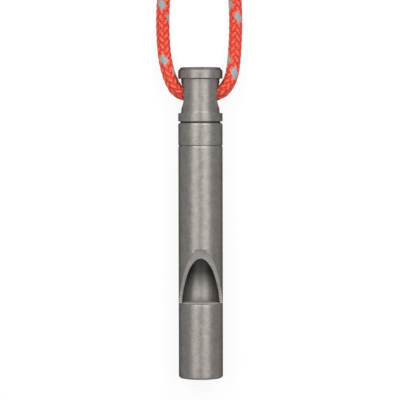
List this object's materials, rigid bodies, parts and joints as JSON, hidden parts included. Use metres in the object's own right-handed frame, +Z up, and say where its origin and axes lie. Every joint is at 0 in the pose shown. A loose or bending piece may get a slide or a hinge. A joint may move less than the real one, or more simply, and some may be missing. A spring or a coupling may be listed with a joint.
{
  "type": "survival whistle",
  "caption": "Slim tubular titanium whistle with a slanted sound window, a turned head with a cross hole, and a braided neck cord lying in a loop and a tied hank.",
  "frame": {"origin": "on the surface that the whistle lies on, under the middle of the whistle's length", "axes": "+Y along the whistle from its mouth end to its head, +Z up out of the sound window, +X to the picture's right"},
  "size_m": [0.0207, 0.1405, 0.0155],
  "materials": {
    "titanium": "sandblasted titanium, satin",
    "cord": "tight polyester braid with grey reflective tracers",
    "tie": "matte twist tie"
  },
  "bodies": {
    "root": {"body_tube": "titanium", "mouth_block": "titanium", "head_stud": "titanium", "cord_left": "cord", "cord_right": "cord", "cord_hank": "cord", "cord_tie": "tie", "cord_knot": "cord"}
  },
  "joints": []
}
